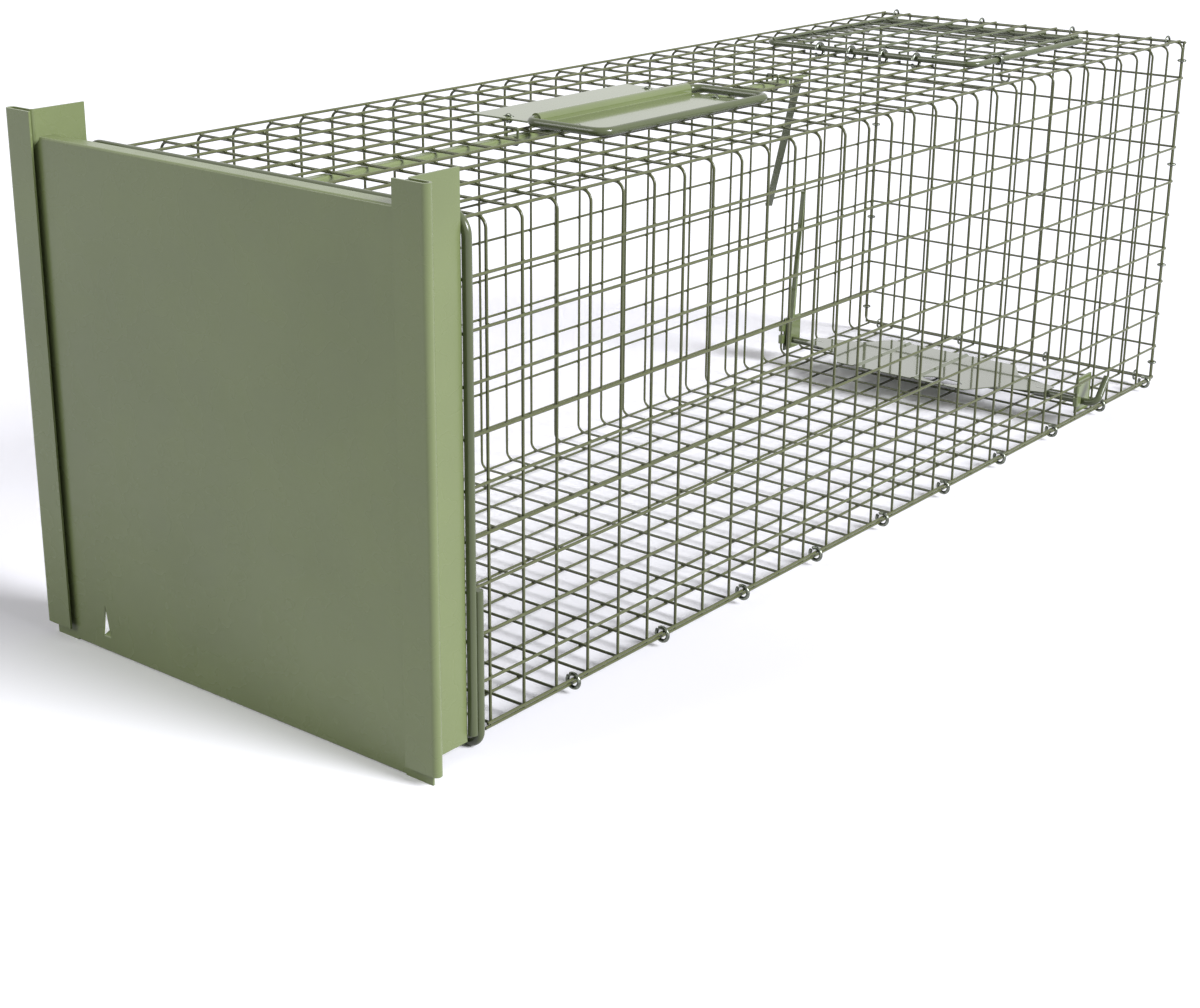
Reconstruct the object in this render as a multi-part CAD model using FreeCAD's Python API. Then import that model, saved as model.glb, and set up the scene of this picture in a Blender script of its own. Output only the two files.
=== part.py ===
"""Live animal trap: a welded mesh cage with a drop door at the front.

The cage runs along Y with the door at the low end, X is the width and Z is up.
The origin lies on the ground below the middle of the whole outline.
All sizes are in millimetres.
"""
import FreeCAD, Part
import math
import os

V = FreeCAD.Vector

# Mesh
cell = 25.4
mesh_wire = 1.6
cell_count_wide = 10
cell_count_high = 10
cell_count_long = 30
cell_count_before_ring = 1
hoop_bend = 5.5
corner_wire_angle = 70.0
weld_gap = 0.02
seam_end = 4.0

# Clearances
rest_gap = 0.3
pin_clearance = 0.08
overrun = 5.0

# Front ring: one bent rod whose two ends lie side by side on the near side
ring_rod = 5.0
ring_offset = 13.45
ring_end_gap = 0.05
ring_low_end = 9.8
ring_high_end = 84.0
ring_foot_bend = 7.3

# Door guides
guide_sheet = 1.2
guide_bend = 2.0
flange_depth = 32.6
slot_outward = 14.9
slot_pitch = 4.6
lip_width = 19.7
guide_bottom = 6.5
guide_above_roof = 26.6

# Door
door_sheet = 1.0
door_bend = 0.9
door_below_guide_top = 12.7
door_edge_play = 4.3
door_rim_depth = 8.9
door_corner_drop = 16.0
door_corner_run = 17.3
tongue_height = 18.5
tongue_width = 6.4
tongue_from_bottom = 8.5
tongue_from_middle = 98.0
tongue_angle = 60.0
tongue_kept_share = 0.55
tongue_cut = 0.4

# Hog rings
ring_wire = 2.2
rear_ring_wire = 1.6
ring_play = 0.1
ring_arc = 330.0
seam_ring_step = 3

# Release bar under the roof
bar_sheet = 1.2
bar_bend = 1.2
bar_width = 6.0
bar_drop = 3.5
bar_tip_gap = 1.6
bar_stroke = 9.0
bar_end = 460.2
bar_bare_end = 26.0
hanger_wire = 1.6
hanger_shares = (0.22, 0.55)

# Trigger strip from the bar down to the far wall
strip_sheet = 1.2
strip_width = 5.0
strip_bend = 3.0
strip_tab = 6.0
strip_lip = 6.0
strip_top_x = -2.85
strip_top_back = 6.2
strip_foot_from_wall = 11.0
strip_foot_y = 594.0
strip_foot_drop = 123.5
rivet_radius = 1.2
rivet_head_radius = 2.0
rivet_head_height = 1.0

# Guard plate and carrying handle on the roof
plate_sheet = 1.0
plate_far_gap = 4.5
plate_near_gap = 6.5
plate_foot_bend = 1.0
handle_rod = 5.0
handle_front = 177.0
handle_back = 335.0
handle_reach = 54.0
handle_bend = 8.0
handle_pin = 30.0
plate_end_gap = 0.5
tie_wire = 1.6
tie_play = 0.05
tie_inset = 6.0
tie_hole_radius = 1.7

# Treadle
axle_rod = 5.0
axle_from_back = 120.5
axle_above_floor = 11.2
axle_far_end = 130.0
axle_near_reach = 12.7
axle_bend = 6.0
axle_hook = 22.0
axle_hook_lean = 40.0
treadle_sheet = 0.8
treadle_depth = 80.0
treadle_half = 54.0
wing_root = 68.0
wing_root_depth = 38.0
wing_reach = 102.0
wing_tip_depth = 14.0
sleeve_length = 10.0
sleeve_wall = 0.9
bead_places = (-38.0, 12.0)
bead_width = 5.0
bead_height = 1.4
bait_hole_long = 32.0
bait_hole_short = 13.0
bait_hole_x = 31.0
bait_hole_inset = 9.5

# Treadle arm
arm_sheet = 1.2
arm_bend = 1.2
arm_width = 9.0
arm_tip_width = 5.0
arm_rim = 4.0
arm_from_wall = 3.4
arm_top = 117.6
arm_foot = 6.0
arm_lean = 6.0

# Axle brackets
bracket_sheet = 1.2
bracket_bend = 0.9
bracket_bottom = 10.0
bracket_top = 36.0
bracket_back = 17.0
bracket_front_gap = 1.5
clip_spans = ((16.0, 22.5), (26.0, 31.0))
clip_tail = 3.4

# Bait hatch in the roof
hatch_cells_half = 3
hatch_first = 21
hatch_last = 27
lid_rod = 4.0
lid_overlap = 5.8
lid_back_overlap = 8.0
lid_bend = 8.0
latch_wire = 1.6
latch_y = 564.0
latch_tail = 14.0
latch_eye = 2.9
latch_bend_share = 0.94

# Derived places
half = cell_count_wide * cell / 2
cross = mesh_wire + weld_gap
floor_z = ring_rod + weld_gap + mesh_wire / 2 + cross
roof_z = floor_z + cell_count_high * cell
roof_top = roof_z + cross + mesh_wire / 2
front_y = -cell_count_before_ring * cell
back_y = cell_count_long * cell
wall_out = half + cross + mesh_wire / 2
ring_x = wall_out + weld_gap + ring_rod / 2
ring_back_y = -ring_offset
ring_front_y = ring_back_y - ring_rod - ring_end_gap
flange_x = wall_out + weld_gap + guide_sheet / 2
flange_back = ring_front_y - ring_rod / 2 - weld_gap
flange_front = flange_back - flange_depth
slot_x = flange_x + slot_outward
lip_y = flange_front - slot_pitch
guide_top = roof_z + guide_above_roof
door_y = flange_front - guide_sheet / 2 - rest_gap - door_sheet / 2
door_top = guide_top - door_below_guide_top
bar_top = roof_z - mesh_wire / 2 - rest_gap
bar_z = bar_top - bar_sheet / 2
bar_tip = door_y + door_rim_depth + bar_tip_gap
handle_z = roof_top + rest_gap + handle_rod / 2
plate_z = roof_top + weld_gap + plate_sheet / 2
plate_far = handle_reach - handle_rod / 2 - plate_far_gap
plate_near = handle_reach - handle_rod / 2 - plate_near_gap
axle_y = back_y - axle_from_back
axle_z = floor_z + axle_above_floor
lid_z = roof_top + rest_gap + lid_rod / 2
lid_front = hatch_first * cell
lid_back = hatch_last * cell + lid_back_overlap
lid_side = hatch_cells_half * cell + lid_overlap
cage_back = back_y + 2 * cross + mesh_wire / 2 + ring_play + rear_ring_wire
middle_y = (lip_y - guide_sheet / 2 + cage_back) / 2


def along(start, end, radius):
    """Straight round wire between two points."""
    return Part.makeCylinder(radius, (end - start).Length, start, end - start)


def corner(before, point, after, radius):
    """Where the bend at a point starts, passes and ends."""
    into = (point - before).normalize()
    out = (after - point).normalize()
    turn = into.getAngle(out)
    reach = radius * math.tan(turn / 2)
    start = point - into * reach
    end = point + out * reach
    inward = (start - point + end - point).normalize()
    depth = radius / math.cos(turn / 2) - radius
    return start, point + inward * depth, end


def rod_path(points, radii, closed):
    """Edges of a route of straight runs with round bends."""
    count = len(points)
    bends = []
    for i in range(0 if closed else 1, count if closed else count - 1):
        bends.append(corner(points[i - 1], points[i], points[(i + 1) % count], radii[i]))
    stops = [bends[-1][2] if closed else points[0]]
    edges = []
    for start, middle, end in bends:
        if (start - stops[-1]).Length > weld_gap:
            edges.append(Part.LineSegment(stops[-1], start).toShape())
        edges.append(Part.Arc(start, middle, end).toShape())
        stops.append(end)
    if not closed and (points[-1] - stops[-1]).Length > weld_gap:
        edges.append(Part.LineSegment(stops[-1], points[-1]).toShape())
    return edges


def bent_rod(points, diameter, radius, closed=False, last_radius=None):
    """Round rod along a bent route; its last bend may have a radius of its own."""
    radii = [radius] * len(points)
    if last_radius:
        radii[-2] = last_radius
    edges = rod_path(points, radii, closed)
    start = edges[0].valueAt(edges[0].FirstParameter)
    heading = edges[0].tangentAt(edges[0].FirstParameter)
    profile = Part.Wire([Part.makeCircle(diameter / 2, start, heading)])
    return Part.Wire(edges).makePipeShell([profile], True, False)


def left_of(direction):
    return V(-direction.y, direction.x, 0)


def strip_side(points, radii, offset):
    """One long edge of a folded strip, as its lines and arcs in order."""
    headings = [(b - a).normalize() for a, b in zip(points, points[1:])]
    at = points[0] + left_of(headings[0]) * offset
    edges = []
    for i, radius in enumerate(radii):
        into = headings[i]
        out = headings[i + 1]
        start, middle, end = corner(points[i], points[i + 1], points[i + 2], radius)
        side = 1 if into.cross(out).z > 0 else -1
        centre = start + left_of(into) * radius * side
        spoke = (middle - centre).normalize()
        first = start + left_of(into) * offset
        last = end + left_of(out) * offset
        if (first - at).Length > weld_gap:
            edges.append((at, first))
        edges.append((first, centre + spoke * (radius - offset * side), last))
        at = last
    final = points[-1] + left_of(headings[-1]) * offset
    if (final - at).Length > weld_gap:
        edges.append((at, final))
    return edges


def folded(points, thickness, radii, place, travel):
    """Folded sheet: a strip section in two coordinates, set in space and pushed along a line."""
    flat = [V(a, b, 0) for a, b in points]
    left = strip_side(flat, radii, thickness / 2)
    right = [tuple(reversed(e)) for e in reversed(strip_side(flat, radii, -thickness / 2))]
    loop = left + [(left[-1][-1], right[0][0])] + right + [(right[-1][-1], left[0][0])]
    edges = []
    for stretch in loop:
        spots = [place(p.x, p.y) for p in stretch]
        curve = Part.LineSegment(*spots) if len(spots) == 2 else Part.Arc(*spots)
        edges.append(curve.toShape())
    return Part.Face(Part.Wire(edges)).extrude(travel)


def prism(points, travel):
    """Flat outline of straight edges, pushed along a line."""
    return Part.Face(Part.makePolygon(points + points[:1])).extrude(travel)


def box_between(low, high):
    size = high - low
    return Part.makeBox(size.x, size.y, size.z, low)


def open_ring(centre, axis, wire, inner, opening):
    """Closed hog ring: a round wire bent almost to a circle, its gap turned to one side."""
    radius = inner + wire / 2
    ring = Part.makeTorus(radius, wire / 2, V(), V(0, 0, 1), -180, 180, ring_arc)
    start = Part.makeCircle(radius).tangentAt(0)
    frame_x = opening - axis * opening.dot(axis)
    frame_x.normalize()
    frame_y = axis.cross(frame_x)
    grid = FreeCAD.Matrix(
        frame_x.x, frame_y.x, axis.x, centre.x,
        frame_x.y, frame_y.y, axis.y, centre.y,
        frame_x.z, frame_y.z, axis.z, centre.z,
        0, 0, 0, 1,
    )
    turn = FreeCAD.Placement(V(), V(0, 0, 1), (360 - ring_arc) / 2)
    ring.Placement = FreeCAD.Placement(grid).multiply(turn)
    return ring


def hoop_places(first, last):
    return [i * cell for i in range(first, last + 1)]


def every_hoop():
    return [i * cell for i in range(-cell_count_before_ring, cell_count_long + 1)]


def hoops(route, places):
    """Copies of one bent cross wire, one at each place along the cage."""
    if len(route) == 2:
        wire = along(route[0], route[1], mesh_wire / 2)
    else:
        wire = bent_rod(route, mesh_wire, hoop_bend)
    return [wire.translated(V(0, y, 0)) for y in places]


def long_wire(x, z, start, end):
    return along(V(x, start, z), V(x, end, z), mesh_wire / 2)


def corner_wire(side, up):
    """Length wire on the outside of a rounded edge of the cage, most of the way round the bend."""
    angle = math.radians(corner_wire_angle)
    level = roof_z - hoop_bend if up > 0 else floor_z + hoop_bend
    x = side * (half - hoop_bend + (hoop_bend + cross) * math.cos(angle))
    z = level + up * (hoop_bend + cross) * math.sin(angle)
    return long_wire(x, z, front_y - mesh_wire / 2, back_y + mesh_wire / 2)


def wall_levels():
    return [floor_z + j * cell for j in range(1, cell_count_high)]


def near_wall():
    foot = floor_z + mesh_wire / 2 + weld_gap
    route = [V(half, 0, foot), V(half, 0, roof_z), V(half - hoop_bend, 0, roof_z)]
    wires = hoops(route, every_hoop())
    for z in wall_levels():
        wires.append(long_wire(half + cross, z, front_y - mesh_wire / 2, back_y + mesh_wire / 2))
    wires.append(long_wire(half + cross, foot + mesh_wire / 2, -seam_end, back_y + mesh_wire / 2))
    wires.append(corner_wire(1, 1))
    return wires


def far_wall():
    inner = half - hoop_bend
    route = [V(-inner, 0, floor_z), V(-half, 0, floor_z), V(-half, 0, roof_z), V(-inner, 0, roof_z)]
    wires = hoops(route, every_hoop())
    for z in wall_levels():
        wires.append(long_wire(-half - cross, z, front_y - mesh_wire / 2, back_y + mesh_wire / 2))
    wires.append(corner_wire(-1, 1))
    wires.append(corner_wire(-1, -1))
    return wires


def floor_mesh():
    route = [V(hoop_bend - half, 0, floor_z), V(half + mesh_wire / 2, 0, floor_z)]
    wires = hoops(route, every_hoop())
    for k in range(1 - cell_count_wide // 2, cell_count_wide // 2 + 1):
        start = -seam_end if k == cell_count_wide // 2 else front_y - mesh_wire / 2
        wires.append(long_wire(k * cell, floor_z - cross, start, back_y + mesh_wire / 2))
    return wires


def roof_part(low, high, first, last, start, end):
    """Flat stretch of the roof between two widths, two hoops and two ends of its length wires."""
    wires = hoops([V(low, 0, roof_z), V(high, 0, roof_z)], hoop_places(first, last))
    for k in range(1 - cell_count_wide // 2, cell_count_wide // 2):
        if low - weld_gap <= k * cell <= high + weld_gap:
            wires.append(long_wire(k * cell, roof_z + cross, start, end))
    return wires


def roof_front():
    edge = half - hoop_bend
    start = front_y - mesh_wire / 2
    end = hatch_first * cell + mesh_wire / 2
    return roof_part(-edge, edge, -cell_count_before_ring, hatch_first, start, end)


def roof_beside(side):
    edge = half - hoop_bend
    inner = hatch_cells_half * cell
    low, high = sorted((side * inner, side * edge))
    start = hatch_first * cell + mesh_wire / 2
    end = hatch_last * cell - mesh_wire / 2
    return roof_part(low, high, hatch_first + 1, hatch_last - 1, start, end)


def roof_back():
    edge = half - hoop_bend
    start = hatch_last * cell - mesh_wire / 2
    return roof_part(-edge, edge, hatch_last, cell_count_long, start, back_y + mesh_wire / 2)


def rear_panel():
    wires = []
    y = back_y + 2 * cross
    for j in range(cell_count_high + 1):
        z = floor_z + j * cell
        wires.append(along(V(-half - mesh_wire / 2, y, z), V(half + mesh_wire / 2, y, z), mesh_wire / 2))
    y = back_y + cross
    for k in range(cell_count_wide + 1):
        low = V(k * cell - half, y, floor_z - mesh_wire / 2)
        wires.append(along(low, V(low.x, y, roof_z + mesh_wire / 2), mesh_wire / 2))
    return wires


def seam_rings():
    inner_pair = V(half, 0, floor_z - cross)
    outer_pair = V(half + cross, 0, floor_z + cross)
    inner = (outer_pair - inner_pair).Length / 2 + mesh_wire / 2 + ring_play
    centre = (inner_pair + outer_pair) / 2
    rings = []
    for i in range(cell_count_long // seam_ring_step):
        y = (seam_ring_step * i + seam_ring_step - 1 / 2) * cell
        rings.append(open_ring(centre + V(0, y, 0), V(0, 1, 0), ring_wire, inner, V(-1, 0, 1)))
    return rings


def mid_cells():
    """Middles of every third cell from one corner cell to the other."""
    return [(1 / 2 + seam_ring_step * i) * cell for i in range((cell_count_high + 2) // seam_ring_step)]


def rear_rings():
    rings = []
    for side in (-1, 1):
        for z in mid_cells():
            centre = V(side * half, back_y + cross / 2, floor_z + z)
            inner = cross / 2 + mesh_wire / 2 + ring_play
            rings.append(open_ring(centre, V(0, 0, 1), rear_ring_wire, inner, V(-side, 0, 0)))
    for level in (floor_z, roof_z):
        for x in mid_cells():
            centre = V(x - half, back_y + cross, level)
            inner = cross + mesh_wire / 2 + ring_play
            inward = V(0, 0, floor_z - level + roof_z - level)
            rings.append(open_ring(centre, V(1, 0, 0), rear_ring_wire, inner, inward))
    return rings


def front_ring():
    radius = half - hoop_bend
    bend = ring_x - radius
    top = roof_z - hoop_bend + bend
    low = floor_z + hoop_bend - bend
    route = [
        V(ring_x, ring_front_y, ring_low_end),
        V(ring_x, ring_front_y, top),
        V(-ring_x, ring_front_y, top),
        V(-ring_x, ring_front_y, low),
        V(ring_x, ring_back_y, low),
        V(ring_x, ring_back_y, ring_high_end),
    ]
    return [bent_rod(route, ring_rod, bend, False, ring_foot_bend)]


def door_guide(side):
    points = [
        (flange_x, flange_back),
        (flange_x, flange_front),
        (slot_x, flange_front),
        (slot_x, lip_y),
        (slot_x - lip_width, lip_y),
    ]
    radii = [guide_bend, slot_pitch / 2, slot_pitch / 2]
    travel = V(0, 0, guide_top - guide_bottom)
    return [folded(points, guide_sheet, radii, lambda a, b: V(side * a, b, guide_bottom), travel)]


def door_tongue():
    """Triangle cut near the low corner, its thin point cut off and its foot bent inwards."""
    lean = math.radians(tongue_angle)
    low = tongue_from_bottom
    root = low - door_bend
    tip = low + tongue_height * math.cos(lean)
    length = tongue_height * tongue_kept_share
    points = [(door_y, root), (door_y, low), (door_y + length * math.sin(lean), low + length * math.cos(lean))]
    start = -tongue_from_middle - tongue_width / 2
    travel = V(tongue_width, 0, 0)
    flap = folded(points, door_sheet, [door_bend], lambda a, b: V(start, a, b), travel)
    front = V(-tongue_from_middle, door_y - overrun, 0)
    reach = V(0, 2 * overrun + tongue_height, 0)
    slim = tongue_width / 2 - tongue_cut
    wide = tongue_width / 2
    outline = [V(-slim, 0, root), V(slim, 0, root), V(slim, 0, low), V(0, 0, tip), V(-slim, 0, low)]
    flap = flap.common(prism([front + spot for spot in outline], reach))
    outline = [V(-wide, 0, low), V(wide, 0, low), V(0, 0, low + tongue_height)]
    return prism([front + spot for spot in outline], reach), flap


def door_panel():
    rim = door_y + door_rim_depth
    width = slot_x - guide_sheet / 2 - door_edge_play
    narrow = width - door_corner_run
    points = [
        (rim, door_sheet / 2),
        (door_y, door_sheet / 2),
        (door_y, door_top - door_sheet / 2),
        (rim, door_top - door_sheet / 2),
    ]
    radii = [door_bend, door_bend]
    travel = V(2 * narrow, 0, 0)
    panel = folded(points, door_sheet, radii, lambda a, b: V(-narrow, a, b), travel)
    flat_top = door_top - door_bend - door_sheet / 2
    for side in (-1, 1):
        outline = [
            (narrow, 0),
            (width, 0),
            (width, flat_top - door_corner_drop),
            (narrow, flat_top),
        ]
        spots = [V(side * x, door_y - door_sheet / 2, z) for x, z in outline]
        panel = panel.fuse(prism(spots, V(0, door_sheet, 0)))
    hole, flap = door_tongue()
    return [panel.cut(hole).fuse(flap).removeSplitter()]


def release_bar():
    edge = bar_width / 2 - bar_sheet / 2
    points = [(-bar_width / 2, bar_z), (edge, bar_z), (edge, bar_top - bar_drop)]
    travel = V(0, bar_end - bar_tip, 0)
    bar = folded(points, bar_sheet, [bar_bend], lambda a, b: V(a, bar_tip, b), travel)
    low = V(edge - bar_bend - bar_sheet / 2, bar_end - bar_bare_end, bar_top - bar_drop - overrun)
    bare = box_between(low, V(bar_width, bar_end + overrun, bar_top - bar_sheet))
    rim = box_between(V(edge - bar_bend, low.y, low.z), V(bar_width, bar_end + overrun, bar_top + overrun))
    return [bar.cut(bare).cut(rim).cut(rivet_hole())]


def strip_heading():
    """Level direction in which the trigger strip leaves the bar, and the length of its slope."""
    top = V(strip_top_x, bar_end - strip_top_back, 0)
    foot = V(strip_foot_from_wall - half, strip_foot_y, 0)
    return top, (foot - top).normalize(), (foot - top).Length


def rivet_spot():
    top, heading, reach = strip_heading()
    return top - heading * strip_tab / 2


def rivet_hole():
    spot = rivet_spot() + V(0, 0, bar_top - 2 * overrun)
    return Part.makeCylinder(rivet_radius + weld_gap, 3 * overrun, spot)


def trigger_strip():
    top, heading, reach = strip_heading()
    level = bar_top - bar_sheet - weld_gap - strip_sheet / 2
    points = [
        (-strip_tab, level),
        (0, level),
        (reach, level - strip_foot_drop),
        (reach + strip_lip, level - strip_foot_drop),
    ]
    sideways = V(0, 0, 1).cross(heading)
    start = top - sideways * strip_width / 2

    def place(a, b):
        return start + heading * a + V(0, 0, b)

    radii = [strip_bend, strip_bend]
    return [folded(points, strip_sheet, radii, place, sideways * strip_width).cut(rivet_hole())]


def trigger_rivet():
    under = bar_top - bar_sheet - weld_gap - strip_sheet - weld_gap
    head = under - rivet_head_height
    spot = rivet_spot()
    shank = Part.makeCylinder(rivet_radius, bar_top - head, spot + V(0, 0, head))
    return [shank.fuse(Part.makeCylinder(rivet_head_radius, rivet_head_height, spot + V(0, 0, head)))]


def bar_hangers():
    """Wire loops over the middle roof wire that carry the bar."""
    x = bar_width / 2 + rest_gap + hanger_wire / 2
    high = roof_top + weld_gap + hanger_wire / 2
    low = bar_top - bar_drop - rest_gap - hanger_wire / 2
    loops = []
    for share in hanger_shares:
        y = (math.floor(share * cell_count_long) + 1 / 2) * cell
        route = [V(x, y, low), V(x, y, high), V(-x, y, high), V(-x, y, low)]
        loops.append(bent_rod(route, hanger_wire, rest_gap + hanger_wire / 2, True))
    return loops


def tie_places():
    front = handle_front + handle_bend + plate_end_gap + tie_inset
    back = handle_back - handle_bend - plate_end_gap - tie_inset
    return [V(side * cell, y, 0) for side in (-1, 1) for y in (front, back)]


def tie_size():
    """Height and radius of the tie rings, which hold the plate down on the roof wires."""
    high = plate_z + plate_sheet / 2 + tie_play
    low = roof_z + cross - mesh_wire / 2 - tie_play
    return (high + low) / 2, (high - low) / 2


def guard_plate():
    arch = handle_rod / 2 + pin_clearance + plate_sheet / 2
    points = [
        (-plate_far, plate_z),
        (-arch, plate_z),
        (-arch, handle_z + arch),
        (arch, handle_z + arch),
        (arch, plate_z),
        (plate_near, plate_z),
    ]
    radii = [plate_foot_bend, arch, arch, plate_foot_bend]
    start = handle_front + handle_bend + plate_end_gap
    travel = V(0, handle_back - handle_bend - plate_end_gap - start, 0)
    plate = folded(points, plate_sheet, radii, lambda a, b: V(a, start, b), travel)
    level, inner = tie_size()
    middle = inner + tie_wire / 2
    spread = math.sqrt(middle ** 2 - (plate_z - level) ** 2)
    for spot in tie_places():
        for side in (-1, 1):
            at = spot + V(side * spread, 0, plate_z - overrun)
            plate = plate.cut(Part.makeCylinder(tie_hole_radius, 2 * overrun, at))
    return [plate]


def plate_ties():
    level, inner = tie_size()
    ties = []
    for spot in tie_places():
        ties.append(open_ring(spot + V(0, 0, level), V(0, 1, 0), tie_wire, inner, V(0, 0, -1)))
    return ties


def carry_handle():
    route = [
        V(0, handle_front + handle_pin, handle_z),
        V(0, handle_front, handle_z),
        V(handle_reach, handle_front, handle_z),
        V(handle_reach, handle_back, handle_z),
        V(0, handle_back, handle_z),
        V(0, handle_back - handle_pin, handle_z),
    ]
    return [bent_rod(route, handle_rod, handle_bend)]


def treadle_axle():
    reach = half + axle_near_reach
    lean = math.radians(axle_hook_lean)
    route = [
        V(-axle_far_end, axle_y, axle_z),
        V(reach, axle_y, axle_z),
        V(reach, axle_y + axle_hook * math.sin(lean), axle_z + axle_hook * math.cos(lean)),
    ]
    return [bent_rod(route, axle_rod, axle_bend)]


def treadle_plate():
    level = axle_z + axle_rod / 2 + weld_gap + treadle_sheet / 2
    points = [(-wing_reach, level)]
    radii = []
    for x in bead_places:
        points += [(x - bead_width / 2, level), (x, level + bead_height), (x + bead_width / 2, level)]
        radii += [treadle_sheet, treadle_sheet, treadle_sheet]
    points.append((wing_reach, level))
    start = axle_y - treadle_depth / 2
    plate = folded(points, treadle_sheet, radii, lambda a, b: V(a, start, b), V(0, treadle_depth, 0))
    for side in (-1, 1):
        for end in (-1, 1):
            spots = [
                (treadle_half, treadle_depth / 2),
                (wing_root, wing_root_depth / 2),
                (wing_reach + overrun, wing_tip_depth / 2),
                (wing_reach + overrun, treadle_depth / 2 + overrun),
                (treadle_half, treadle_depth / 2 + overrun),
            ]
            outline = [V(side * x, axle_y + end * y, level - overrun) for x, y in spots]
            plate = plate.cut(prism(outline, V(0, 0, 2 * overrun)))
        plate = plate.fuse(axle_sleeve(side))
    return [plate.cut(bait_hole(level)).removeSplitter()]


def axle_sleeve(side):
    """Tip of a wing rolled round the axle."""
    inner = axle_rod / 2 + weld_gap
    start = V(side * (wing_reach - sleeve_length), axle_y, axle_z)
    heading = V(side, 0, 0)
    tube = Part.makeCylinder(inner + sleeve_wall, sleeve_length, start, heading)
    return tube.cut(Part.makeCylinder(inner, sleeve_length, start, heading))


def bait_hole(level):
    centre = V(bait_hole_x, axle_y - treadle_depth / 2 + bait_hole_inset, level - overrun)
    rim = Part.Ellipse(centre, bait_hole_long / 2, bait_hole_short / 2)
    return Part.Face(Part.Wire([rim.toShape()])).extrude(V(0, 0, 2 * overrun))


def treadle_arm():
    x = -half + arm_from_wall
    front = -arm_width / 2 + arm_sheet / 2
    points = [(x + arm_rim, front), (x, front), (x, arm_width / 2)]
    travel = V(0, 0, arm_top + arm_foot)
    arm = folded(points, arm_sheet, [arm_bend], lambda a, b: V(a, axle_y + b, axle_z - arm_foot), travel)
    hole = Part.makeCylinder(axle_rod / 2 + weld_gap, half, V(-half - overrun, axle_y, axle_z), V(1, 0, 0))
    rear = arm_width / 2
    outline = [
        (rear, arm_foot),
        (rear + overrun, arm_foot),
        (rear + overrun, arm_top + overrun),
        (arm_tip_width - rear, arm_top + overrun),
        (arm_tip_width - rear, arm_top),
    ]
    taper = prism([V(-half, axle_y + y, axle_z + z) for y, z in outline], V(half, 0, 0))
    arm = arm.cut(hole).cut(taper)
    arm.rotate(V(0, axle_y, axle_z), V(1, 0, 0), -arm_lean)
    return [arm]


def axle_bracket(side):
    """Plate against the inside of a wall, clipped round one hoop, with a hole for the axle."""
    hoop_y = math.floor(axle_y / cell) * cell
    inner = half - mesh_wire / 2 - weld_gap - bracket_sheet / 2
    outer = half + mesh_wire / 2 + weld_gap + bracket_sheet / 2
    front = hoop_y - mesh_wire / 2 - ring_play - bracket_sheet / 2
    low = V(side * inner - bracket_sheet / 2, hoop_y + bracket_front_gap, bracket_bottom)
    plate = Part.makeBox(bracket_sheet, axle_y + bracket_back - low.y, bracket_top - bracket_bottom, low)
    for z, top in clip_spans:
        points = [(inner, low.y + bracket_sheet), (inner, front), (outer, front), (outer, hoop_y + clip_tail)]
        radii = [bracket_bend, bracket_bend]
        travel = V(0, 0, top - z)
        clip = folded(points, bracket_sheet, radii, lambda a, b: V(side * a, b, z), travel)
        plate = plate.fuse(clip)
    start = V(side * (half - overrun), axle_y, axle_z)
    hole = Part.makeCylinder(axle_rod / 2 + pin_clearance, 2 * overrun, start, V(side, 0, 0))
    return [plate.cut(hole)]


def hatch_lid():
    route = [
        V(lid_side, lid_front, lid_z),
        V(lid_side, lid_back, lid_z),
        V(-lid_side, lid_back, lid_z),
        V(-lid_side, lid_front, lid_z),
    ]
    pieces = [bent_rod(route, lid_rod, lid_bend, True)]
    top = lid_z + lid_rod / 2 + weld_gap + mesh_wire / 2
    for k in range(-hatch_cells_half, hatch_cells_half + 1):
        pieces.append(long_wire(k * cell, top, lid_front - mesh_wire / 2, lid_back + mesh_wire / 2))
    reach = lid_side - lid_rod / 2 - weld_gap
    for i in range(hatch_first + 1, hatch_last + 1):
        low = V(-reach, i * cell, top - cross)
        pieces.append(along(low, V(reach, i * cell, top - cross), mesh_wire / 2))
    return pieces


def hinge_rings():
    """Rings that tie the front rod of the lid to the roof hoop below it."""
    low = roof_z - mesh_wire / 2
    high = lid_z + lid_rod / 2
    inner = (high - low) / 2 + ring_play
    rings = []
    for i in (-2, -1, 0, 1):
        centre = V((i + 1 / 2) * cell, lid_front, (high + low) / 2)
        rings.append(open_ring(centre, V(1, 0, 0), ring_wire, inner, V(0, -1, 0)))
    return rings


def lid_latch():
    """Wire wound twice round the lid's rim, with a tail that hangs through a roof cell and ends in a hook."""
    radius = lid_rod / 2 + weld_gap + latch_wire / 2
    centre = V(lid_side, latch_y, lid_z)
    step = (latch_wire + pin_clearance) / 4
    turn = [(-1, -1), (-1, 1), (1, 1), (1, -1)]
    route = [centre + V(x * radius, i * step, z * radius) for i, (x, z) in enumerate(turn + turn[:3])]
    low = route[-1] - V(0, 0, radius + latch_tail)
    out = V(2 * latch_eye, 0, 0)
    route += [low, low + out, low + out + V(0, 0, 2 * latch_eye)]
    return [bent_rod(route, latch_wire, radius * latch_bend_share)]


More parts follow.
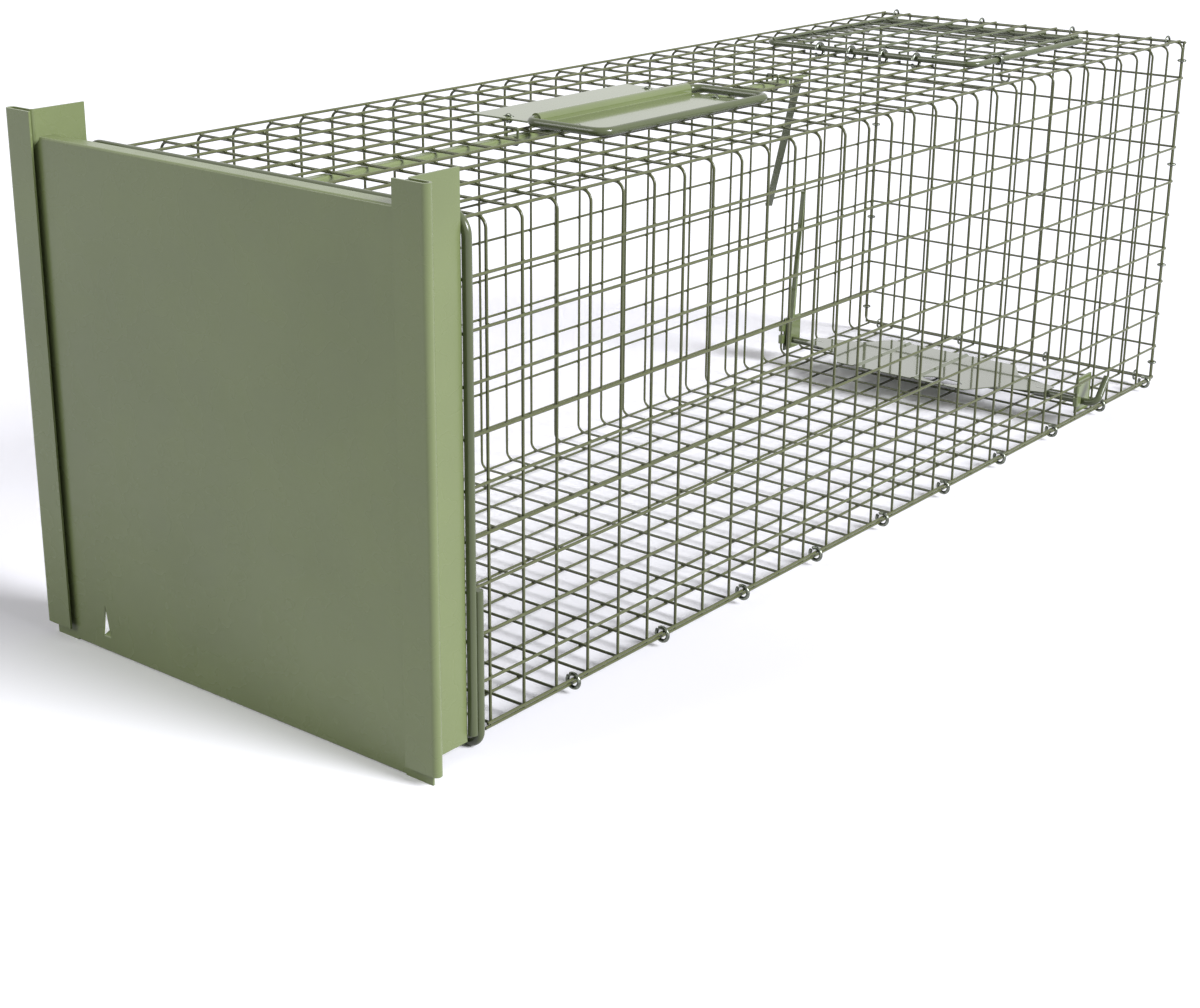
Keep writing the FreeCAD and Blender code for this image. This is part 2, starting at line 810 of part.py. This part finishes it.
pieces = {
    "near_wall_mesh": near_wall(),
    "far_wall_mesh": far_wall(),
    "floor_mesh": floor_mesh(),
    "roof_mesh_front": roof_front(),
    "roof_mesh_near_hatch_side": roof_beside(1),
    "roof_mesh_far_hatch_side": roof_beside(-1),
    "roof_mesh_back": roof_back(),
    "rear_mesh_panel": rear_panel(),
    "seam_hog_rings": seam_rings(),
    "rear_edge_hog_rings": rear_rings(),
    "front_ring": front_ring(),
    "near_door_guide": door_guide(1),
    "far_door_guide": door_guide(-1),
    "drop_door": door_panel(),
    "release_bar": release_bar(),
    "trigger_strip": trigger_strip(),
    "trigger_rivet": trigger_rivet(),
    "bar_hanger_loops": bar_hangers(),
    "guard_plate": guard_plate(),
    "plate_tie_rings": plate_ties(),
    "carry_handle": carry_handle(),
    "treadle_axle": treadle_axle(),
    "treadle_plate": treadle_plate(),
    "treadle_arm": treadle_arm(),
    "near_axle_bracket": axle_bracket(1),
    "far_axle_bracket": axle_bracket(-1),
    "bait_hatch_lid": hatch_lid(),
    "hatch_hinge_rings": hinge_rings(),
    "hatch_latch": lid_latch(),
}

os.makedirs("parts", exist_ok=True)
for name, solids in pieces.items():
    moved = [s.translated(V(0, -middle_y, 0)) for s in solids]
    shape = moved[0] if len(moved) == 1 else Part.makeCompound(moved)
    shape.exportStep("parts/" + name + ".step")
    print(name, len(shape.Solids), round(shape.Volume), shape.isValid())
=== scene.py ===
# %% [markdown]
# # A live animal trap, dressed and lit
# The real trap is a cage of welded wire mesh with a sheet steel door that drops in two folded
# guides. Its steel is coated with sage green powder, and only the wire rings, the hatch latch and
# one rivet are bare zinc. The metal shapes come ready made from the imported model, so this lesson is
# about three things: the coat, the small welds that join the wires, and plain studio light.

# %% Load the frame
import bpy, bmesh, math
from mathutils import Matrix, Vector


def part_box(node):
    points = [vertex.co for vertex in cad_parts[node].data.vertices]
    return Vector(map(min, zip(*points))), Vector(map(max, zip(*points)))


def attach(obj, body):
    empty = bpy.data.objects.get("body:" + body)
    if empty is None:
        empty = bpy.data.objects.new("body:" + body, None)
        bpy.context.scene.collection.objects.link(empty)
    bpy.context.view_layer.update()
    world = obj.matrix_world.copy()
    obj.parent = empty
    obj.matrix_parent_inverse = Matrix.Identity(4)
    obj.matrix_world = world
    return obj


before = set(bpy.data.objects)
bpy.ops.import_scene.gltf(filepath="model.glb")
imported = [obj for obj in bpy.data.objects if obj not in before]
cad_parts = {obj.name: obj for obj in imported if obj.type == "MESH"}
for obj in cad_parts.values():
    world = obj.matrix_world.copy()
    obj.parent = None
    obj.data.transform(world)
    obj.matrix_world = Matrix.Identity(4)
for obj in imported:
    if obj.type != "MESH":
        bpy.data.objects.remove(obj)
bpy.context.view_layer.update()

# %% [markdown]
# ## Step 1: one node tree for every coat
# Powder coat is sprayed on as dust and melted. It keeps a faint orange peel, its colour drifts a
# little where it lies thicker, and it shines like plastic. A Principled shader with four noises
# does this: two slow ones for the colour and the gloss, and two fine ones for the peel and its
# grain. An image of real paint would do it too, but it needs a UV map and shows its edges. The
# noises read Object coordinates, so they stay fixed to the steel without one. Each coat then
# differs only by its colour, gloss and peel, so one function makes them all.

# %% An empty material


def blank_material(name):
    """A material with one Principled shader and nothing else."""
    material = bpy.data.materials.new(name)
    material.use_nodes = True
    tree = material.node_tree
    tree.nodes.clear()
    output = tree.nodes.new("ShaderNodeOutputMaterial")
    shader = tree.nodes.new("ShaderNodeBsdfPrincipled")
    tree.links.new(shader.outputs["BSDF"], output.inputs["Surface"])
    return material, tree, shader


# %% Noise that stays on the steel


def noise(tree, scale, detail, stretch=(1, 1, 1)):
    """Noise on Object coordinates; scale counts features in a metre."""
    place = tree.nodes.new("ShaderNodeTexCoord")
    mapping = tree.nodes.new("ShaderNodeMapping")
    mapping.inputs["Scale"].default_value = stretch
    texture = tree.nodes.new("ShaderNodeTexNoise")
    texture.inputs["Scale"].default_value = scale
    texture.inputs["Detail"].default_value = detail
    tree.links.new(place.outputs["Object"], mapping.inputs["Vector"])
    tree.links.new(mapping.outputs["Vector"], texture.inputs["Vector"])
    return texture.outputs["Fac"]


# %% What a noise can drive
noise_low = 0.3
noise_high = 0.7


def ramp(tree, value, low, high):
    """Spread a noise between two colours."""
    node = tree.nodes.new("ShaderNodeValToRGB")
    ends = node.color_ramp.elements
    ends[0].position, ends[1].position = noise_low, noise_high
    ends[0].color, ends[1].color = (*low, 1), (*high, 1)
    tree.links.new(value, node.inputs["Fac"])
    return node.outputs["Color"]


def spread(tree, value, low, high):
    """Spread a noise between two numbers."""
    node = tree.nodes.new("ShaderNodeMapRange")
    node.inputs["From Min"].default_value = noise_low
    node.inputs["From Max"].default_value = noise_high
    node.inputs["To Min"].default_value = low
    node.inputs["To Max"].default_value = high
    tree.links.new(value, node.inputs["Value"])
    return node.outputs["Result"]


def bumps(tree, value, distance, strength, under=None):
    """Raise a noise as bumps, on top of the bumps that are under it."""
    node = tree.nodes.new("ShaderNodeBump")
    node.inputs["Distance"].default_value = distance
    node.inputs["Strength"].default_value = strength
    tree.links.new(value, node.inputs["Height"])
    if under:
        tree.links.new(under, node.inputs["Normal"])
    return node.outputs["Normal"]


# %% Powder coat
drift_scale = 14
cloud_scale = 60
peel_scale = 420
grain_scale = 2600
peel_depth = 0.0004
grain_depth = 0.00005
plastic_ior = 1.5


def shade(color, factor):
    return tuple(c * factor for c in color)


def powder_coat(name, color, gloss, peel, shine=0.5):
    """Sprayed coat; gloss is the roughness and shine the specular level."""
    material, tree, shader = blank_material(name)
    drift = noise(tree, drift_scale, 3)
    thin, thick = shade(color, 0.93), shade(color, 1.06)
    tree.links.new(ramp(tree, drift, thin, thick), shader.inputs["Base Color"])
    cloud = noise(tree, cloud_scale, 2)
    roughness = spread(tree, cloud, gloss * 0.85, gloss * 1.2)
    tree.links.new(roughness, shader.inputs["Roughness"])
    waves = bumps(tree, noise(tree, peel_scale, 1), peel_depth, peel)
    grain = bumps(tree, noise(tree, grain_scale, 2), grain_depth, peel, waves)
    tree.links.new(grain, shader.inputs["Normal"])
    shader.inputs["IOR"].default_value = plastic_ior
    shader.inputs["Specular IOR Level"].default_value = shine
    print("coat", name, "roughness", gloss)
    return material


# %% The coats of sheet, wire and rod
sage = (0.176, 0.217, 0.087)
# Wire and rod carry the same sage coat as the sheet at about half its brightness. This darkening is
# painted shade for the dark shaded sides of the thin wires and rods.
wire_sage_with_painted_shade = (0.090, 0.102, 0.038)
rod_sage_with_painted_shade = (0.086, 0.105, 0.045)
sheet_coat = powder_coat("sage_coat_on_sheet", sage, 0.26, 0.06, 0.6)
wire_coat = powder_coat("sage_coat_on_wire_with_painted_shade", wire_sage_with_painted_shade, 0.26, 0.04, 0.5)
rod_coat = powder_coat("sage_coat_on_rod_with_painted_shade", rod_sage_with_painted_shade, 0.20, 0.04)

# %% [markdown]
# The small flat plates came out smoother than the rest and mirror the room. A lower roughness alone
# would leave the mirror image too weak, so they also get the shader's clear coat layer on top.

# %% The coats of the small plates


def add_lacquer(material, weight, ior):
    """Clear wet looking layer over a coat; it mirrors sharply where it is seen at a low angle."""
    shader = material.node_tree.nodes["Principled BSDF"]
    shader.inputs["Coat Weight"].default_value = weight
    shader.inputs["Coat IOR"].default_value = ior
    shader.inputs["Coat Roughness"].default_value = 0.02
    print("lacquer on", material.name, "weight", weight)


plate_coat = powder_coat("glossy_sage_coat_on_plate", shade(sage, 0.9), 0.10, 0.02)
add_lacquer(plate_coat, 0.3, 1.5)
treadle_coat = powder_coat("mirror_sage_coat_on_treadle", shade(sage, 0.5), 0.10, 0.02)
add_lacquer(treadle_coat, 1.0, 1.95)

# %% [markdown]
# ## Step 2: zinc for the hog rings
# Hog rings go on after the coating, so they are bare zinc coated wire: dull grey metal, a little
# cloudy, with fine marks along the wire from the pliers. Metal has no colour under its shine, so
# the clouds go into the base colour and the roughness, and a stretched noise scratches it.

# %% Zinc
dark_zinc = (0.06, 0.07, 0.05)
pale_zinc = (0.26, 0.28, 0.23)


def zinc_wire(name):
    material, tree, shader = blank_material(name)
    shader.inputs["Metallic"].default_value = 1.0
    cloud = noise(tree, 700, 3)
    tree.links.new(ramp(tree, cloud, dark_zinc, pale_zinc), shader.inputs["Base Color"])
    tree.links.new(spread(tree, noise(tree, 1500, 2), 0.15, 0.32), shader.inputs["Roughness"])
    along_the_wire = (1, 1, 6)
    marks = bumps(tree, noise(tree, 900, 3, along_the_wire), 0.0001, 0.25)
    tree.links.new(marks, shader.inputs["Normal"])
    print("metal", name)
    return material


zinc = zinc_wire("cloudy_zinc")

# %% Give every node its finish
finishes = {
    wire_coat: [
        "near_wall_mesh", "far_wall_mesh", "floor_mesh", "rear_mesh_panel",
        "roof_mesh_front", "roof_mesh_near_hatch_side", "roof_mesh_far_hatch_side",
        "roof_mesh_back",
    ],
    rod_coat: [
        "front_ring", "carry_handle", "treadle_axle", "bait_hatch_lid", "bar_hanger_loops",
    ],
    sheet_coat: [
        "near_door_guide", "far_door_guide", "drop_door", "release_bar", "trigger_strip",
    ],
    plate_coat: ["guard_plate", "treadle_arm", "near_axle_bracket", "far_axle_bracket"],
    treadle_coat: ["treadle_plate"],
    zinc: [
        "seam_hog_rings", "rear_edge_hog_rings", "plate_tie_rings", "hatch_hinge_rings",
        "hatch_latch", "trigger_rivet",
    ],
}
for material, names in finishes.items():
    for name in names:
        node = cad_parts[name]
        if not node.material_slots:
            node.data.materials.append(material)
        for slot in node.material_slots:
            slot.material = material
print("dressed", sum(len(names) for names in finishes.values()), "of", len(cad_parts), "nodes")

# %% [markdown]
# ## Step 3: welds where the wires cross
# Welded mesh is made by pressing two layers of wire together and melting them at each crossing. The
# metal squeezes out and leaves a small bead, rounded over by the coat. Each bead is a flattened
# ball between the two wires. There are over a thousand, so a ball has few faces, one cross row of
# balls is made first, and the row is then copied from hoop to hoop.

# %% Sizes of the mesh
cell = 0.0254
wire = 0.0016
layer = 0.00162
bend = 0.0055
corner_wire_angle = math.radians(70)
half = 5 * cell
cells_high = 10
last_hoop = 30
hoops = range(-1, last_hoop + 1)
hoops_under_lid = range(22, 27)
lid_wires = range(22, 28)
floor_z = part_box("floor_mesh")[1].z - wire / 2
roof_z = floor_z + cells_high * cell
hoop_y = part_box("near_wall_mesh")[0].y + wire / 2 + cell
print("floor wires at", round(floor_z, 5), "roof wires at", round(roof_z, 5))

# %% One bead
bead_size = 0.00118
bead_flatness = 0.7
x_axis, y_axis, z_axis = 0, 1, 2


def bead(bm, place, flat_axis):
    """One flattened ball at a crossing; flat_axis points from one wire to the other."""
    size = [bead_size] * 3
    size[flat_axis] = bead_size * bead_flatness
    matrix = Matrix.Translation(place) @ Matrix.Diagonal((*size, 1))
    bmesh.ops.create_uvsphere(bm, u_segments=8, v_segments=5, radius=1, matrix=matrix)


# %% A row of beads and its copies


def row_mesh(places):
    """Mesh of the beads of one row."""
    bm = bmesh.new()
    for place, flat_axis in places:
        bead(bm, place, flat_axis)
    mesh = bpy.data.meshes.new("bead_row")
    bm.to_mesh(mesh)
    bm.free()
    return mesh


def copy_row(bm, row, shifts):
    """Append a row mesh once for each shift."""
    for shift in shifts:
        old = len(bm.verts)
        bm.from_mesh(row)
        bm.verts.ensure_lookup_table()
        bmesh.ops.translate(bm, verts=bm.verts[old:], vec=shift)


def along_the_cage(numbers):
    """Shifts from the middle of the frame to each hoop."""
    return [Vector((0, hoop_y + number * cell, 0)) for number in numbers]


# %% A finished piece that rides on a body


def finish_mesh(bm, name, material, body):
    """Point the faces outwards, round them off and fix the piece to its body."""
    bmesh.ops.recalc_face_normals(bm, faces=bm.faces)
    for face in bm.faces:
        face.smooth = True
    mesh = bpy.data.meshes.new(name)
    bm.to_mesh(mesh)
    bm.free()
    piece = bpy.data.objects.new(name, mesh)
    bpy.context.scene.collection.objects.link(piece)
    mesh.materials.append(material)
    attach(piece, body)
    print(name, len(mesh.polygons), "faces")
    return piece


# %% Weld beads of the cage
between = layer / 2
walls = [
    (Vector((side * (half + between), 0, floor_z + j * cell)), x_axis)
    for side in (-1, 1)
    for j in range(1, cells_high)
]
floor_row = [(Vector((k * cell, 0, floor_z - between)), z_axis) for k in range(-4, 5)]
roof_middle = [(Vector((k * cell, 0, roof_z + between)), z_axis) for k in range(-2, 3)]
roof_edges = [
    (Vector((side * k * cell, 0, roof_z + between)), z_axis) for side in (-1, 1) for k in (3, 4)
]
round_x = half - bend + (bend + between) * math.cos(corner_wire_angle)
round_up = (bend + between) * math.sin(corner_wire_angle) - bend
rounded = [(Vector((side * round_x, 0, roof_z + round_up)), z_axis) for side in (-1, 1)]
rounded.append((Vector((-round_x, 0, floor_z - round_up)), z_axis))
whole_row = row_mesh(walls + floor_row + roof_edges + rounded)

bm = bmesh.new()
copy_row(bm, whole_row, along_the_cage(hoops))
hoops_with_roof = [number for number in hoops if number not in hoops_under_lid]
copy_row(bm, row_mesh(roof_middle), along_the_cage(hoops_with_roof))
rear_y = hoop_y + last_hoop * cell + layer * 1.5
rear = [(Vector((k * cell, rear_y, floor_z)), y_axis) for k in range(-5, 6)]
copy_row(bm, row_mesh(rear), [Vector((0, 0, j * cell)) for j in range(cells_high + 1)])
finish_mesh(bm, "weld_beads", wire_coat, "cage")

# %% Weld beads of the hatch lid
lid_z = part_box("bait_hatch_lid")[1].z - wire / 2 - between
lid_row = [(Vector((k * cell, 0, lid_z)), z_axis) for k in range(-3, 4)]
bm = bmesh.new()
copy_row(bm, row_mesh(lid_row), along_the_cage(lid_wires))
finish_mesh(bm, "lid_weld_beads", wire_coat, "hatch")

# %% [markdown]
# ## Step 4: floor and light
# The photograph was taken on white. A white floor under strong lamps would throw so much light back
# up that the trap's dark undersides wash out, so the floor asks what kind of ray meets it, through
# Light Path. The camera and the glossy reflections see it white, with a slight glow that keeps its
# shadow from going dull. All other light finds it darker. The sky does the same: white where it is
# seen, dim where it lights the trap.

# %% What a ray sees


def link_mix(tree, factor, first, second):
    """Blend two shaders: the first at 0 and the second at 1."""
    mix = tree.nodes.new("ShaderNodeMixShader")
    tree.links.new(factor, mix.inputs["Fac"])
    tree.links.new(first, mix.inputs[1])
    tree.links.new(second, mix.inputs[2])
    return mix.outputs["Shader"]


def seen_directly(tree):
    """1 for rays from the camera, off a shiny surface or through glass, else 0."""
    path = tree.nodes.new("ShaderNodeLightPath")
    total = path.outputs["Is Camera Ray"]
    for name in ("Is Glossy Ray", "Is Transmission Ray"):
        add = tree.nodes.new("ShaderNodeMath")
        add.operation = "MAXIMUM"
        tree.links.new(total, add.inputs[0])
        tree.links.new(path.outputs[name], add.inputs[1])
        total = add.outputs["Value"]
    return total


# %% Floor
floor_radius = 30
floor_bounce = 0.28
floor_glow = 0.03


def white_floor():
    material = bpy.data.materials.new("white_floor")
    material.use_nodes = True
    tree = material.node_tree
    tree.nodes.clear()
    output = tree.nodes.new("ShaderNodeOutputMaterial")
    pale = tree.nodes.new("ShaderNodeBsdfDiffuse")
    pale.inputs["Color"].default_value = (floor_bounce, floor_bounce, floor_bounce, 1)
    white = tree.nodes.new("ShaderNodeBsdfDiffuse")
    white.inputs["Color"].default_value = (1, 1, 1, 1)
    glow = tree.nodes.new("ShaderNodeEmission")
    glow.inputs["Color"].default_value = (0.96, 0.96, 1.0, 1)
    glow.inputs["Strength"].default_value = floor_glow
    lifted = tree.nodes.new("ShaderNodeAddShader")
    tree.links.new(white.outputs["BSDF"], lifted.inputs[0])
    tree.links.new(glow.outputs["Emission"], lifted.inputs[1])
    seen = seen_directly(tree)
    surface = link_mix(tree, seen, pale.outputs["BSDF"], lifted.outputs["Shader"])
    tree.links.new(surface, output.inputs["Surface"])
    return material


bm = bmesh.new()
bmesh.ops.create_circle(bm, cap_ends=True, segments=64, radius=floor_radius)
ground = bpy.data.meshes.new("studio_floor")
bm.to_mesh(ground)
bm.free()
ground.materials.append(white_floor())
studio_floor = bpy.data.objects.new("studio_floor", ground)
bpy.context.scene.collection.objects.link(studio_floor)
print("floor radius", floor_radius, "m")

# %% Sky
sky_color = (0.91, 0.89, 1.0, 1)
sky_strength = 0.24
world = bpy.data.worlds.new("white_sky")
bpy.context.scene.world = world
world.use_nodes = True
tree = world.node_tree
tree.nodes.clear()
output = tree.nodes.new("ShaderNodeOutputWorld")
dim = tree.nodes.new("ShaderNodeBackground")
dim.inputs["Color"].default_value = sky_color
dim.inputs["Strength"].default_value = sky_strength
bright = tree.nodes.new("ShaderNodeBackground")
bright.inputs["Color"].default_value = (1, 1, 1, 1)
bright.inputs["Strength"].default_value = 1.0
seen = seen_directly(tree)
surface = link_mix(tree, seen, dim.outputs["Background"], bright.outputs["Background"])
tree.links.new(surface, output.inputs["Surface"])
print("sky strength", sky_strength)

# %% [markdown]
# One wide lamp above and to the near side makes the near flange the brightest face, and a weaker one
# from the front on the far side lights the door and throws the guide's lip as a dark line on it.
# Sun lamps with a wide angle do this evenly: their light is the same everywhere on the floor, so the
# floor stays white to the horizon and only the soft shadow shows. The main lamp is a touch cool, as
# daylight is.

# %% Lamps
cool_white = (1.0, 1.0, 1.08)
plain_white = (1.0, 1.0, 1.0)


def wide_sun(name, toward, strength, angle, color):
    """Sun lamp that stands in the direction toward; a wider angle makes softer shadows."""
    lamp = bpy.data.lights.new(name, "SUN")
    lamp.energy = strength
    lamp.color = color
    lamp.angle = math.radians(angle)
    made = bpy.data.objects.new(name, lamp)
    bpy.context.scene.collection.objects.link(made)
    made.rotation_euler = Vector(toward).to_track_quat("Z", "Y").to_euler()
    print(name, "strength", strength, "angle", angle)
    return made


wide_sun("lamp_above_near_side", (0.84, 0.18, 0.50), 4.7, 24, cool_white)
wide_sun("lamp_front_far_side", (-0.45, -0.72, 0.53), 1.35, 36, plain_white)

# %% [markdown]
# ## Step 5: camera
# The camera stands where the photograph was taken from. The place could be found by eye, but mesh
# makes it easy to measure: its wires cross at even steps, so many crossings with known places were
# marked and the camera was moved until they fitted. The small downward shift frames the trap as in
# the photograph.

# %% Camera
camera_place = (0.7404, -1.0439, 0.4665)
turn = math.radians(38.382)
tilt = math.radians(19.114)
roll = math.radians(0.524)
camera = bpy.data.cameras.new("photograph_camera")
camera.sensor_width = 36
camera.lens = 62.105
camera.shift_y = -0.04
camera.clip_end = 100
view = bpy.data.objects.new("photograph_camera", camera)
bpy.context.scene.collection.objects.link(view)
level = math.cos(tilt)
heading = Vector((-math.sin(turn) * level, math.cos(turn) * level, -math.sin(tilt)))
look = heading.to_track_quat("-Z", "Y").to_matrix() @ Matrix.Rotation(roll, 3, "Z")
view.matrix_world = Matrix.Translation(camera_place) @ look.to_4x4()
bpy.context.scene.camera = view
print("camera at", camera_place, "lens", camera.lens)

# %% [markdown]
# ## Step 6: colour view
# The view transform is plain, so a colour renders about as it is written.

# %% Finish
bpy.context.scene.view_settings.view_transform = "Standard"
